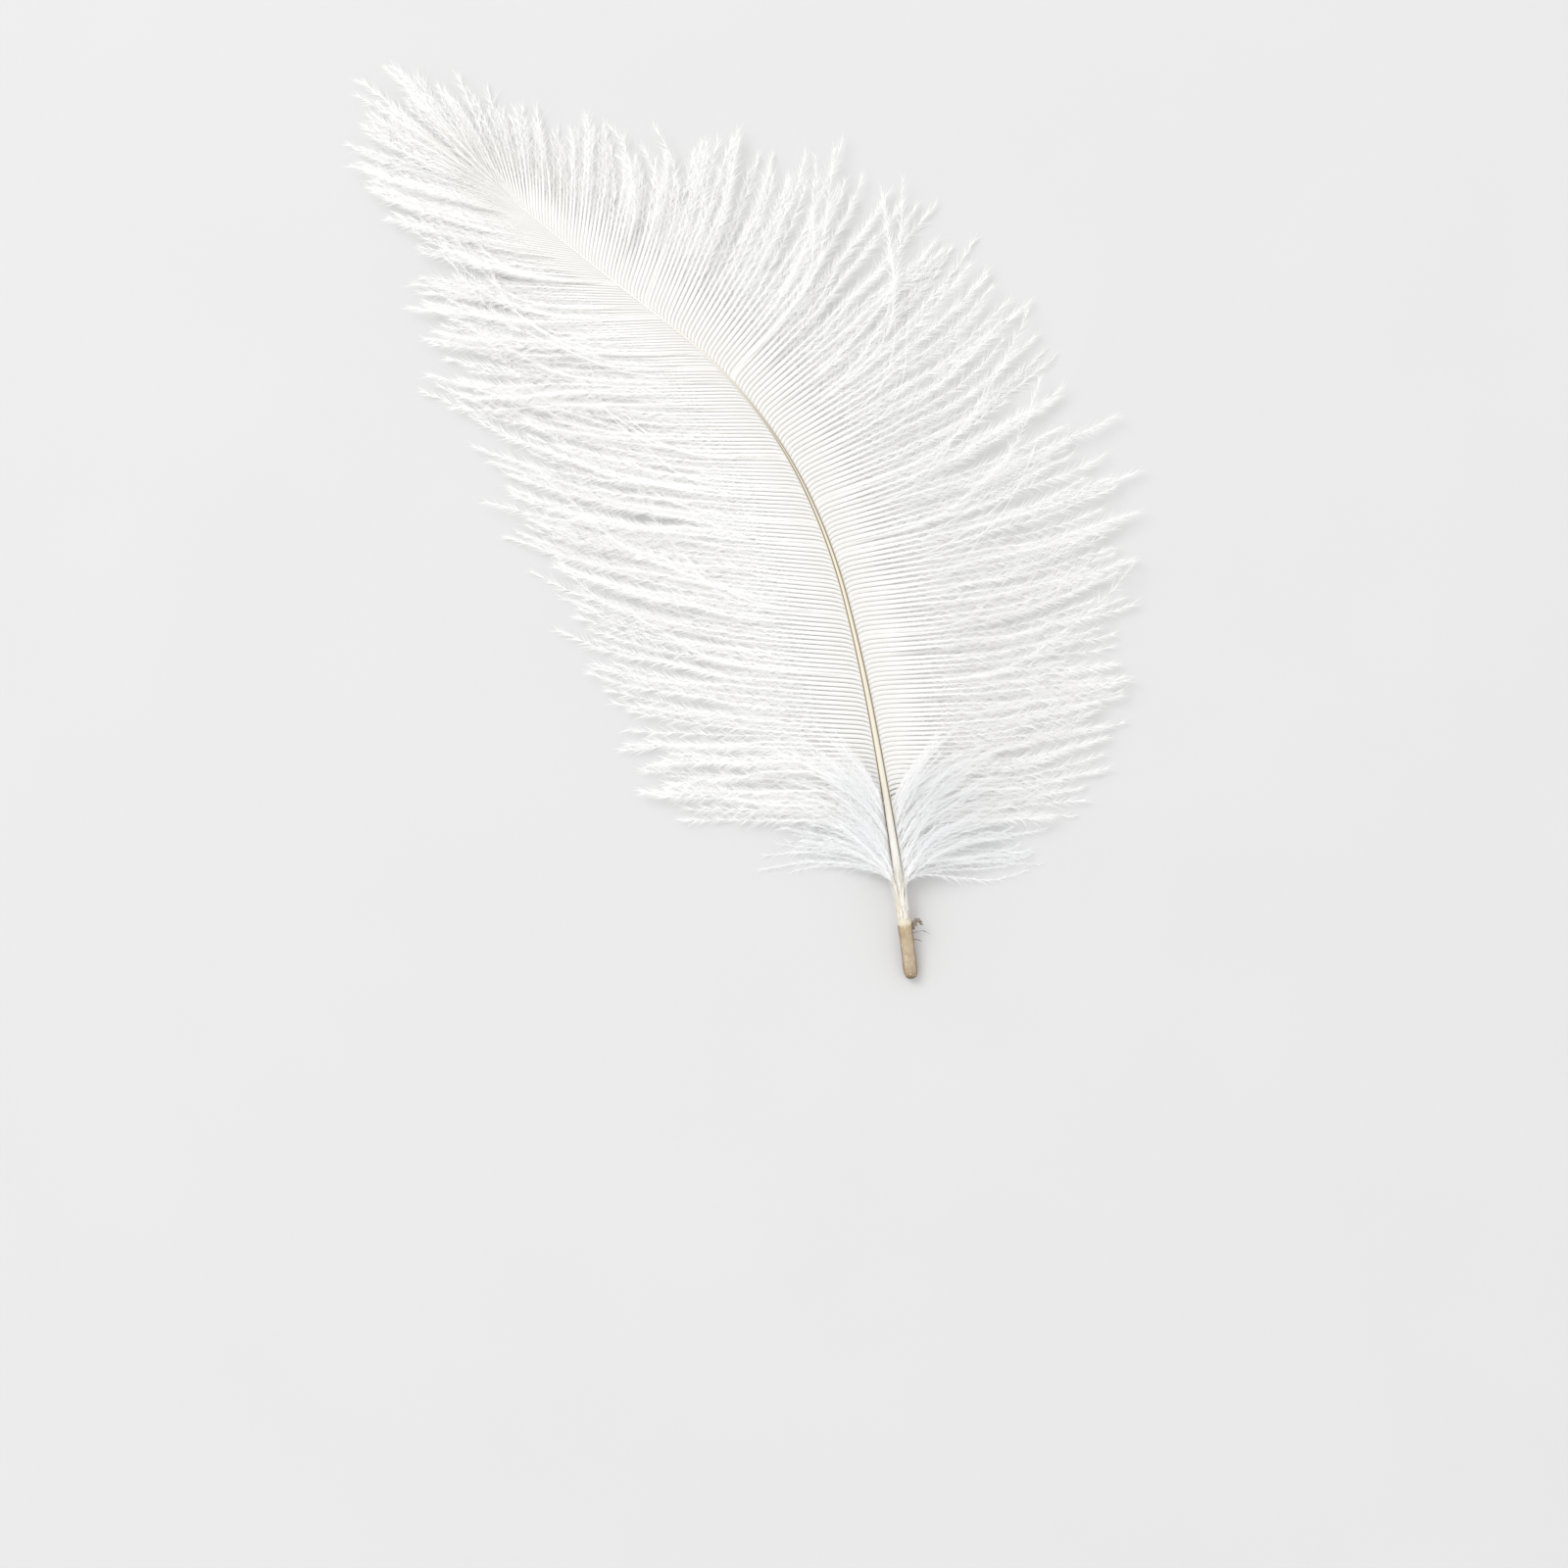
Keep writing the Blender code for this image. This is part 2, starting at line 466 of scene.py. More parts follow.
def make_horn():
    plain = {"Metallic": 0.0, "Coat_Weight": 0.12, "Coat_Roughness": 0.4}
    material, tree, surface = new_material("shaft horn", **plain)
    along, arc = carried(tree, "along_mm"), carried(tree, "arc_mm")
    line, side = carried(tree, "line_mm"), carried(tree, "side_mm")
    place = add(tree, "ShaderNodeTexCoord").outputs["Object"]
    share = sums(tree, "DIVIDE", along, SHAFT_LENGTH * 1000.0)
    body = ramp(tree, HORN_COLOURS, share)
    # Pale flecks painted as small highlights on the quill, darker stains, and painted shade on its
    # flanks
    flecks = noise(tree, place, 1500.0, 3.0)
    stains = noise(tree, place, 760.0, 4.0)
    quill = span(tree, along, 9.5, 9.2)
    # Painted highlights: pale flecks where small glints fall on the quill
    pale = sums(tree, "MULTIPLY", span(tree, flecks, 0.58, 0.70), quill)
    body = stained(tree, body, pale, 0.7, (0.74, 0.66, 0.50))
    dark = sums(tree, "MULTIPLY", span(tree, stains, 0.47, 0.66), quill)
    body = stained(tree, body, dark, 0.5, (0.36, 0.26, 0.16))
    # Painted shade: the quill is darkened where its round surface turns away to its sides
    painted_flank_shade = sums(tree, "MULTIPLY", span(tree, side, 0.78, 1.16), quill)
    body = stained(tree, body, painted_flank_shade, 0.8, (0.24, 0.165, 0.09))
    # Short brown streaks on the neck, which run along it
    stretched = add(tree, "ShaderNodeCombineXYZ")
    tree.links.new(sums(tree, "MULTIPLY", arc, 5.0), stretched.inputs["X"])
    tree.links.new(sums(tree, "MULTIPLY", along, 0.55), stretched.inputs["Y"])
    streaks = noise(tree, stretched.outputs["Vector"], 1.0, 2.0)
    neck = window(tree, along, 9.9, 11.0, 17.0, 22.0)
    streak = sums(tree, "MULTIPLY", span(tree, streaks, 0.50, 0.64), neck)
    body = stained(tree, body, streak, 0.75, (0.42, 0.32, 0.20))
    # Dark specks where the neck turns into the rachis
    turn = window(tree, along, 13.6, 14.4, 15.6, 16.6)
    speck = sums(tree, "MULTIPLY", span(tree, streaks, 0.46, 0.54), turn)
    body = stained(tree, body, speck, 0.85, (0.24, 0.18, 0.12))
    # The two brown lines of the rachis, on top of a yellower band between them
    away = sums(tree, "SUBTRACT", side, line)
    yellow = window(tree, along, 24.0, 40.0, 70.0, 95.0)
    band = sums(tree, "MULTIPLY", span(tree, away, 0.0, -0.08), yellow)
    body = stained(tree, body, band, 0.4, (0.86, 0.78, 0.61))
    near = span(tree, sums(tree, "ABSOLUTE", away, 0.0), 0.155, 0.045)
    drawn = sums(tree, "MULTIPLY", near, window(tree, along, 14.5, 23.0, 84.0, 120.0))
    body = stained(tree, body, drawn, 0.94, (0.20, 0.14, 0.075))
    tree.links.new(body, surface.inputs["Base Color"])
    rough = sums(tree, "ADD", sums(tree, "MULTIPLY", stains, 0.3), 0.35)
    tree.links.new(rough, surface.inputs["Roughness"])
    bump = add(tree, "ShaderNodeBump")
    bump.inputs["Strength"].default_value = 0.35
    bump.inputs["Distance"].default_value = 0.00006
    tree.links.new(sums(tree, "ADD", flecks, streaks), bump.inputs["Height"])
    tree.links.new(bump.outputs["Normal"], surface.inputs["Normal"])
    return material


shaft.data.materials.append(make_horn())
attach(shaft, "root")
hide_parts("shaft")

# %% [markdown]
# ## Barbs as arrays
#
# A barb is a tapering strip that leaves the shaft at a slant, bends out within a millimetre and
# then runs outwards and down to the table. Blender's hair curves would be the usual way to make
# hundreds of them, but they aren't a mesh, so here each barb is a row of points in one large array.
# All the barbs of a vane are laid in one go, because numpy adds and turns whole arrays at a time.

# %% Where barbs go
LEFT, RIGHT = 1, -1
VANE_START = 0.0266
DOWN_START = 0.014
EDGE_HEIGHT = 0.0009
LANDING = 0.85
# The share of its slant that a barb has lost at its tip, by where it stands on the shaft
TIP_SWEEPS = {
    LEFT: ((DOWN_START, 0.0), (0.045, 0.14), (0.080, 0.34)),
    RIGHT: ((DOWN_START, 0.05), (0.060, 0.20)),
}
ROOT_LEAN = 30.0
# A strip is narrower where its barb slants less, but no narrower than at this many degrees.
LEAST_SLANT = 14.0
# Barbs begin to wave and swing between these two distances from the shaft.
HELD, FREE = 0.008, 0.028
LEAST_HEIGHT = 0.0003
# Each barb's points lie close together near the shaft, where it bends most.
SHARES = np.linspace(0.0, 1.0, 27) ** 1.5
LENGTHS = {
    LEFT: (
        (DOWN_START, 0.024), (VANE_START, 0.040), (0.045, 0.051), (0.065, 0.057), (0.085, 0.057),
        (0.110, 0.049), (0.135, 0.036), (SHAFT_LENGTH, 0.025),
    ),
    RIGHT: (
        (DOWN_START, 0.022), (VANE_START, 0.037), (0.045, 0.047), (0.065, 0.051), (0.085, 0.050),
        (0.110, 0.041), (0.135, 0.024), (0.150, 0.019), (SHAFT_LENGTH, 0.022),
    ),
}
LEANS = {
    LEFT: (
        (DOWN_START, 86.0), (0.030, 80.0), (0.060, 72.0), (0.090, 60.0), (0.110, 46.0),
        (0.130, 36.0), (0.152, 26.0), (SHAFT_LENGTH, 6.0),
    ),
    RIGHT: (
        (DOWN_START, 110.0), (0.030, 99.0), (0.060, 99.0), (0.090, 92.0), (0.110, 84.0),
        (0.130, 70.0), (0.152, 46.0), (SHAFT_LENGTH, 6.0),
    ),
}


class Barbs:
    """The shape numbers of some barbs on one side of the shaft, one array value per barb."""

    def __init__(self, side, along):
        count = len(along)
        self.side = side
        self.along = along
        self.length = reading(LENGTHS[side], along)
        self.lean = reading(LEANS[side], along)
        self.root_lean = np.minimum(ROOT_LEAN, self.lean)
        self.bend = np.full(count, 0.0008)
        self.swing = np.zeros(count)
        self.wave_depth = np.zeros(count)
        self.wave_length = np.full(count, 0.02)
        self.wave_start = np.zeros(count)
        self.lift = np.zeros(count)

    def wave(self, rng, depths, lengths):
        """Waves of random depth, in degrees, and random length, each between its two limits."""
        count = len(self.along)
        self.wave_depth = rng.uniform(*depths, count)
        self.wave_length = rng.uniform(*lengths, count)
        self.wave_start = rng.uniform(0.0, 6.3, count)

    def laid(self):
        """Rows of points, one row for each barb."""
        tall = {name: value[:, None] for name, value in vars(self).items() if name != "side"}
        length, lean = tall["length"], tall["lean"]
        out = SHARES * length
        free = smooth(out, HELD, FREE)
        angle = lean * (1.0 - reading(TIP_SWEEPS[self.side], tall["along"]) * SHARES**2)
        angle = angle - (lean - tall["root_lean"]) * np.exp(-out / tall["bend"])
        wave = np.sin(out / tall["wave_length"] * 2.0 * math.pi + tall["wave_start"])
        angle = angle + free * (tall["swing"] * SHARES + tall["wave_depth"] * wave)
        self.slant = np.sin(np.radians(np.maximum(np.abs(angle), LEAST_SLANT)))
        heading = shaft_heading(tall["along"])
        root = shaft_at(self.along)
        inset = self.side * 0.8 * reading(SHAFT_WIDTHS, tall["along"])
        flat = root[:, :2] - inset * np.hstack((np.cos(heading), np.sin(heading)))
        x, y = walked(flat, heading + self.side * np.radians(angle), out)
        fall = (1.0 + np.cos(math.pi * np.minimum(SHARES / LANDING, 1.0))) / 2
        z = EDGE_HEIGHT + (root[:, 2:] - EDGE_HEIGHT) * fall + tall["lift"] * smooth(SHARES, 0.1, 0.6)
        return np.stack((x, y, np.maximum(z, LEAST_HEIGHT)), -1)


# %% [markdown]
# ## Strips
#
# A barb's own body is a strip, which is a flattened tube with four sides. Near the shaft it is over
# half a millimetre wide, so that neighbouring barbs nearly touch and read as a comb, and further
# out it thins to a thread.

# %% Flattened tubes along rows of points


def strips(paths, half_width, half_height, tilt):
    """Closed flattened tubes. Returns points, triangles and each point's place on its path."""
    count, steps = paths.shape[:2]
    ahead = np.gradient(paths, axis=1)
    ahead /= np.linalg.norm(ahead, axis=-1, keepdims=True)
    beside = np.stack((-ahead[..., 1], ahead[..., 0], np.zeros(ahead.shape[:2])), -1)
    beside /= np.linalg.norm(beside, axis=-1, keepdims=True)
    up = np.cross(ahead, beside)
    tilt = np.radians(tilt)
    flat = (beside * math.cos(tilt) + up * math.sin(tilt)) * half_width[..., None]
    tall = (up * math.cos(tilt) - beside * math.sin(tilt)) * half_height[..., None]
    corners = np.stack((flat, tall, -flat, -tall), 2)
    points = (paths[:, :, None, :] + corners).reshape(-1, 3)
    first = (np.arange(count)[:, None] * steps + np.arange(steps - 1)[None, :]).ravel() * 4
    faces = []
    for side in range(4):
        a, b = first + side, first + (side + 1) % 4
        faces += [np.stack((a, b, b + 4), -1), np.stack((a, b + 4, a + 4), -1)]
    root = np.arange(count) * steps * 4
    end = root + (steps - 1) * 4
    faces += [np.stack((root, root + 3, root + 2), -1), np.stack((root, root + 2, root + 1), -1)]
    faces += [np.stack((end, end + 1, end + 2), -1), np.stack((end, end + 2, end + 3), -1)]
    return points, np.vstack(faces), np.repeat(np.arange(count * steps), 4)


# %% [markdown]
# ## Needles
#
# The barbules are closed needles of four triangles. Each is only a few hundredths of a millimetre
# thick, so the two hundred thousand of them read as soft wool.

# %% Needles along rows of points
NEEDLE_TURNS = np.radians((0.0, 120.0, 240.0))


def needles(paths, which, share, angle, roll, length, radius):
    """Closed needles that leave the paths at an angle. Roll turns each one about its barb."""
    low = np.clip(np.searchsorted(SHARES, share, side="right") - 1, 0, len(SHARES) - 2)
    part = ((share - SHARES[low]) / (SHARES[low + 1] - SHARES[low]))[:, None]
    before, after = paths[which, low], paths[which, low + 1]
    base = before + (after - before) * part
    ahead = after - before
    ahead /= np.linalg.norm(ahead, axis=1, keepdims=True)
    beside = np.stack((-ahead[:, 1], ahead[:, 0], np.zeros(len(ahead))), -1)
    beside /= np.linalg.norm(beside, axis=1, keepdims=True)
    up = np.cross(ahead, beside)
    outward = beside * np.cos(roll)[:, None] + up * np.sin(roll)[:, None]
    along = ahead * np.cos(angle)[:, None] + outward * np.sin(angle)[:, None]
    # A needle may point straight up, and the small part of beside keeps the product from zero.
    across = np.cross(along, up + 0.01 * beside)
    across /= np.linalg.norm(across, axis=1, keepdims=True)
    other = np.cross(along, across)
    turns = NEEDLE_TURNS[None, :, None]
    ring = across[:, None, :] * np.cos(turns) + other[:, None, :] * np.sin(turns)
    ring = base[:, None, :] + ring * radius[:, None, None]
    tip = base + along * length[:, None]
    tip[:, 2] = np.maximum(tip[:, 2], 0.00004)
    points = np.concatenate((ring, tip[:, None, :]), 1).reshape(-1, 3)
    first = np.arange(len(which)) * 4
    corners = ((0, 2, 1), (0, 1, 3), (1, 2, 3), (2, 0, 3))
    faces = [np.stack([first + c for c in corner], -1) for corner in corners]
    return points, np.vstack(faces)


# %% [markdown]
# ## Many parts, one mesh
#
# Blender is slow at taking points one by one, so whole arrays are handed over. Each point carries
# its tone and its distance from the shaft, which the material reads.

# %% Join points and triangles into one mesh


def joined(name, parts, material):
    """One mesh from groups of points, triangles, tones and millimetres from the shaft."""
    points = np.vstack([part[0] for part in parts])
    starts = np.cumsum([0] + [len(part[0]) for part in parts[:-1]])
    faces = np.vstack([part[1] + start for part, start in zip(parts, starts)])
    mesh = bpy.data.meshes.new(name)
    mesh.vertices.add(len(points))
    mesh.vertices.foreach_set("co", points.ravel())
    mesh.loops.add(faces.size)
    mesh.loops.foreach_set("vertex_index", faces.ravel().astype(np.int32))
    mesh.polygons.add(len(faces))
    mesh.polygons.foreach_set("loop_start", np.arange(len(faces), dtype=np.int32) * 3)
    mesh.polygons.foreach_set("use_smooth", np.zeros(len(faces), bool))
    for index, label in ((2, "tone"), (3, "out_mm")):
        values = np.concatenate([part[index] for part in parts])
        layer = mesh.attributes.new(label, "FLOAT", "POINT")
        layer.data.foreach_set("value", values.astype(np.float32))
    # A flat map of tone against distance, which gives every triangle a small area of its own
    tone, out_mm = (np.concatenate([part[index] for part in parts])[faces] for index in (2, 3))
    corner = np.array(((0.0, 0.0), (0.004, 0.0), (0.0, 0.004)))
    flat = np.stack((tone * 0.98, np.minimum(out_mm / 64.0, 0.98)), -1) + corner
    mesh.uv_layers.new(name="OFBake").data.foreach_set("uv", flat.astype(np.float32).ravel())
    mesh.update(calc_edges=True)
    mesh.materials.append(material)
    piece = bpy.data.objects.new(name, mesh)
    bpy.context.collection.objects.link(piece)
    print(f"{name}: {len(faces)} triangles")
    return piece


def dressed(barbs, paths, rng, half_width, half_height, tilt, per_mm, thinning, hair):
    """The strips and barbules of some barbs, ready to be joined.

    Thinning is the share of barbules missing at the ends. Hair is a function that gives each
    barbule's angle, roll, length and radius from its place.
    """
    count = len(paths)
    length = barbs.length
    points, faces, place = strips(paths, half_width, half_height, tilt)
    tone = rng.random(count)
    out_mm = (SHARES * length[:, None]).ravel() * 1000.0
    strip = (points, faces, np.repeat(tone, len(SHARES) * 4), out_mm[place])
    numbers = np.maximum((length * 1000.0 * per_mm).astype(int), 4)
    which = np.repeat(np.arange(count), numbers)
    rank = np.arange(len(which)) - np.repeat(np.cumsum(numbers) - numbers, numbers)
    spot = np.clip((rank + rng.random(len(which))) / numbers[which], 0.0, 1.0)
    near = 1.0 - smooth(spot * length[which], 0.0, 0.008)
    kept = rng.random(len(which)) > thinning * smooth(spot, 0.35, 0.9) + 0.4 * near
    which, spot = which[kept], spot[kept]
    slant = barbs.slant[which, np.searchsorted(SHARES, spot)]
    angle, roll, reach, radius = hair(rng, barbs.along[which], spot, spot * length[which], slant)
    points, faces = needles(paths, which, spot, angle, roll, reach, radius)
    wool_tone = np.clip(tone[which] + rng.normal(0.0, 0.2, len(which)), 0.0, 1.0)
    fluff = (points, faces, np.repeat(wool_tone, 4), np.repeat(spot * length[which] * 1000.0, 4))
    return [strip, fluff]


# %% [markdown]
# ## The vanes
#
# Close to the shaft the barbs stand in perfect order, 0.8 mm apart. Further out they hang free and
# gather in locks of a few barbs, which wave, cross a little and lie at different heights. The locks
# come from a simple rule: each barb is pulled towards its lock's middle, more and more on the way
# out. A few single barbs stray right across the others, as on any feather that has been handled.

# %% Order and disorder in a vane
SPACINGS = ((VANE_START, 0.00080), (0.100, 0.00078), (SHAFT_LENGTH, 0.00062))
COMB_END = ((VANE_START, 0.001), (0.036, 0.003), (0.050, 0.005), (0.130, 0.004), (SHAFT_LENGTH, 0.002))
WOOL_FULL = ((VANE_START, 0.006), (0.036, 0.011), (0.050, 0.015), (0.130, 0.013), (SHAFT_LENGTH, 0.007))


def barb_roots():
    """Distances of the barbs along the shaft."""
    roots = [VANE_START]
    while roots[-1] < SHAFT_LENGTH - 0.0006:
        roots.append(roots[-1] + reading(SPACINGS, roots[-1]))
    return np.array(roots)


def drift(rng, along, waves, depth):
    """A slow random wave along the shaft, so that neighbours stray the same way."""
    total = np.zeros(len(along))
    for _ in range(waves):
        stretch, start = rng.uniform(0.012, 0.05), rng.uniform(0.0, 6.3)
        total += np.sin(along / stretch * 2.0 * math.pi + start)
    return total * depth / math.sqrt(waves)


def vane_barbs(side, rng):
    """Barbs in order at their roots and in locks at their ends, with their paths."""
    barbs = Barbs(side, barb_roots())
    count = len(barbs.along)
    sizes = rng.integers(1, 7, count)
    lock = np.repeat(np.arange(count), sizes)[:count]
    locks = lock[-1] + 1
    middle = np.array([barbs.along[lock == k].mean() for k in range(locks)])
    leaders = Barbs(side, middle)
    leaders.length *= rng.normal(1.0, 0.05, locks) + drift(rng, middle, 4, 0.04)
    leaders.swing = drift(rng, middle, 5, 5.0) + rng.normal(0.0, 3.0, locks)
    leaders.wave(rng, (2.0, 7.0), (0.014, 0.028))
    leaders.lift = rng.uniform(-0.0005, 0.0018, locks)
    off = np.abs(barbs.along - middle[lock]) / 0.0015
    barbs.length = leaders.length[lock] * (1.0 - 0.12 * off) * (1.1 - 0.3 * rng.random(count) ** 0.7)
    barbs.length *= 0.82 + 0.18 * smooth(barbs.along, VANE_START, 0.040)
    barbs.swing = leaders.swing[lock] + rng.normal(0.0, 6.0, count)
    barbs.wave_depth = leaders.wave_depth[lock] * rng.uniform(0.6, 1.4, count)
    barbs.wave_length = leaders.wave_length[lock]
    barbs.wave_start = leaders.wave_start[lock] + rng.normal(0.0, 0.4, count)
    barbs.lift = leaders.lift[lock] + rng.uniform(-0.0005, 0.0005, count)
    paths = barbs.laid()
    pull = rng.uniform(0.1, 0.6, count)
    pull[rng.random(count) < 0.10] = 0.0
    weight = (pull[:, None] * smooth(SHARES, 0.4, 1.0))[..., None]
    return barbs, paths + (leaders.laid()[lock] - paths) * weight


def stray_barbs(side, rng, count):
    """Single long barbs that leave their neighbours and turn up towards the tip."""
    barbs = Barbs(side, rng.uniform(0.035, 0.135, count))
    barbs.length *= rng.uniform(0.85, 1.14, count)
    barbs.swing = -rng.uniform(20.0, 60.0, count)
    barbs.wave(rng, (3.0, 9.0), (0.02, 0.03))
    barbs.lift = rng.uniform(0.001, 0.003, count)
    return barbs, barbs.laid()


def wisp_barbs(side, rng, count):
    """Thin barbs that have turned up along the shaft and lie across their neighbours."""
    barbs = Barbs(side, rng.uniform(0.058, 0.118, count))
    barbs.length = rng.uniform(0.030, 0.048, count)
    barbs.swing = -rng.uniform(34.0, 56.0, count)
    barbs.wave(rng, (4.0, 10.0), (0.018, 0.03))
    barbs.lift = rng.uniform(0.003, 0.005, count)
    return barbs, barbs.laid()


def plume_barbs(side, rng, count):
    """The last barbs, which run on past the end of the shaft and close the tip."""
    barbs = Barbs(side, np.linspace(0.153, 0.1636, count))
    barbs.length = rng.uniform(0.017, 0.026, count)
    barbs.lean = rng.uniform(-8.0, 14.0, count)
    barbs.root_lean = barbs.lean
    barbs.swing = rng.normal(0.0, 5.0, count)
    barbs.wave_depth = rng.uniform(2.0, 6.0, count)
    barbs.wave_start = rng.uniform(0.0, 6.3, count)
    barbs.lift = rng.uniform(0.0, 0.0015, count)
    return barbs, barbs.laid()


def picked(barbs, paths, keep):
    """Some of the barbs, and their paths."""
    chosen = Barbs(barbs.side, barbs.along[keep])
    chosen.length = barbs.length[keep]
    chosen.slant = barbs.slant[keep]
    return chosen, paths[keep]


# %% [markdown]
# ## Barbules on the vanes
#
# In the comb the strips fill most of their pitch and the barbules are short. Further out the strips
# narrow and the barbules grow long. So one function gives each barbule its angle, length and
# thickness from its distance to the shaft, and another gives each strip its width.

# %% Dress the vanes
# Each barb's strip fills this share of half its pitch in the comb, and is tipped this many degrees.
COMB_FILL = {LEFT: 0.35, RIGHT: 0.39}
COMB_TILT = {LEFT: -21.0, RIGHT: 13.0}


def vane_hair(rng, along, spot, out, slant):
    """Barbules: short in the comb, long and silky in the wool, and like a fir branch at the end."""
    total = len(spot)
    wool = smooth(out, reading(COMB_END, along), reading(WOOL_FULL, along))
    outer = smooth(spot, 0.35, 0.8)
    ending = smooth(spot, 0.85, 1.0)
    spread = rng.normal(0.0, 1.0, total) * (6.0 + 5.0 * wool * (1.0 - ending))
    angle = np.radians(32.0 - 6.0 * wool + 7.0 * outer - 14.0 * ending + spread)
    flat_side = np.where(rng.random(total) < 0.5, 0.0, math.pi)
    roll = flat_side + rng.normal(0.0, 0.5, total) * (0.5 + 0.3 * wool + 0.4 * outer)
    reach = (0.0007 * slant + 0.0017 * wool + 0.0008 * outer) * (1.0 - 0.35 * ending)
    reach = reach * rng.uniform(0.6, 1.2, total)
    radius = (0.000034 + 0.000008 * wool + 0.000005 * outer) * rng.uniform(0.7, 1.2, total)
    return angle, roll, reach, radius


def dressed_vane(barbs, paths, rng, per_mm, strength):
    """Strength is how wide the strips are in the comb: 1 for barbs that stand in order."""
    out = SHARES * barbs.length[:, None]
    along = barbs.along[:, None]
    comb = 1.0 - smooth(out, reading(COMB_END, along), reading(WOOL_FULL, along) * 1.25)
    comb = comb * smooth(along, VANE_START, VANE_START + 0.008) * strength
    room = reading(SPACINGS, along) * barbs.slant
    half_width = 0.00002 + 0.00005 * (1.0 - SHARES) + COMB_FILL[barbs.side] * room * comb
    half_height = 0.00002 + 0.00003 * (1.0 - SHARES)
    tilt = COMB_TILT[barbs.side]
    return dressed(barbs, paths, rng, half_width, half_height, tilt, per_mm, 0.46, vane_hair)


def wisp_hair(rng, along, spot, out, slant):
    """Short barbules that lie close to the barb, so that the whole wisp is one bright thread."""
    total = len(spot)
    angle = np.radians(rng.normal(14.0, 5.0, total))
    roll = rng.uniform(0.0, 2.0 * math.pi, total)
    reach = 0.0014 * (1.0 - 0.6 * spot) * rng.uniform(0.6, 1.2, total)
    return angle, roll, reach, np.full(total, 0.00004)


def dressed_wisps(barbs, paths, rng):
    """Wisps have no wide strip, so they stay thin from end to end."""
    half = (0.00003 + 0.00004 * (1.0 - SHARES)) * np.ones((len(paths), 1))
    return dressed(barbs, paths, rng, half, half, 0.0, 9.0, 0.3, wisp_hair)


# Each vane is made as three pieces, split by place along the shaft. Each vane is three
# pieces, so that none has more triangles than a piece may have.
THIRDS = ((0.0, 0.068, "lower"), (0.068, 0.105, "middle"), (0.105, 1.0, "upper"))


def dress_vane(side, word, seed):
    """The ordered barbs and the strays in three pieces, with wisps in the middle and the plume."""
    rng = np.random.default_rng(seed)
    barbs, paths = vane_barbs(side, rng)
    strays, stray_paths = stray_barbs(side, rng, 14)
    for low, high, part in THIRDS:
        keep = (barbs.along >= low) & (barbs.along < high)
        parts = dressed_vane(*picked(barbs, paths, keep), rng, 14.5, 1.0)
        keep = (strays.along >= low) & (strays.along < high)
        if keep.any():
            parts += dressed_vane(*picked(strays, stray_paths, keep), rng, 9.0, 0.2)
        if part == "upper":
            parts += dressed_vane(*plume_barbs(side, rng, 9), rng, 12.0, 0.0)
        if part == "middle":
            parts += dressed_wisps(*wisp_barbs(side, rng, 9), rng)
        piece = joined(f"{word}_vane_{part}", parts, vane_white)
        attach(piece, "root")
        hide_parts(f"{word}_vane")


dress_vane(LEFT, "left", 11)
dress_vane(RIGHT, "right", 23)

# %% [markdown]
# ## The down
#
# Below the vanes the barbs are down: finer, shorter, purer white, and with barbules all round, so
# they stand up as a brush on each side of the shaft's foot. The lowest ones lie flat and point
# straight outwards. The upper ones start along the shaft and curl outwards over the first barbs of
# the vane.

# %% Downy tufts
DOWN_BARBS = 100


def down_hair(rng, along, spot, out, slant):
    """Barbules all round the barb, short at its root."""
    total = len(spot)
    early = smooth(out, 0.0, 0.005)
    angle = np.radians(rng.normal(34.0, 9.0, total))
    roll = rng.uniform(0.0, 2.0 * math.pi, total)
    reach = (0.0008 + 0.0017 * early) * (1.0 - 0.4 * spot**3) * rng.uniform(0.5, 1.2, total)
    radius = 0.000036 * rng.uniform(0.7, 1.2, total)
    return angle, roll, reach, radius


def vane_height(side, paths):
    """How high the vane lies at each point, from the nearest place on the shaft."""
    places = np.linspace(DOWN_START, 0.060, 120)
    line = shaft_at(places)
    gaps = np.linalg.norm(paths[:, :, None, :2] - line[:, :2], axis=-1)
    nearest, out = gaps.argmin(-1), gaps.min(-1)
    length = reading(LENGTHS[side], np.maximum(places, VANE_START))[nearest]
    fall = (1.0 + np.cos(math.pi * np.minimum(out / length / LANDING, 1.0))) / 2
    return EDGE_HEIGHT + (line[nearest, 2] - EDGE_HEIGHT) * fall


def down_tuft(side, word, seed, root_lean, bend):
    """Root lean and bend are those of the lowest barbs, which lie flat."""
    rng = np.random.default_rng(seed)
    count = DOWN_BARBS
    steep = rng.uniform(0.0, 1.0, count) ** 1.3
    barbs = Barbs(side, np.linspace(0.0152, 0.0300, count))
    barbs.length = np.linspace(0.023, 0.030, count) * (1.0 - 0.5 * steep) * rng.uniform(0.7, 1.1, count)
    barbs.lean = barbs.lean * (1.0 - 0.5 * steep)
    barbs.root_lean = root_lean * (1.0 - 0.6 * steep)
    barbs.bend = bend + 0.006 * steep
    barbs.wave(rng, (3.0, 8.0), (0.012, 0.020))
    barbs.swing = rng.normal(0.0, 14.0, count)
    barbs.lift = -0.0006 + 0.0016 * steep
    paths = barbs.laid()
    # The steeper barbs come to lie on top of the vane's lowest ones.
    above = vane_height(side, paths) + (0.0003 + 0.0014 * steep)[:, None]
    raised = smooth(steep, 0.1, 0.4)[:, None] * smooth(SHARES, 0.02, 0.2)
    paths[..., 2] += raised * (above - paths[..., 2])
    half = (0.00002 + 0.00005 * (1.0 - SHARES)) * np.ones((count, 1))
    parts = dressed(barbs, paths, rng, half, half, 0.0, 11.0, 0.4, down_hair)
    piece = joined(f"{word}_down_tuft", parts, down_white)
    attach(piece, "root")
    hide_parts(f"{word}_down")


down_tuft(LEFT, "left", 5, 20.0, 0.004)
down_tuft(RIGHT, "right", 7, 40.0, 0.0025)

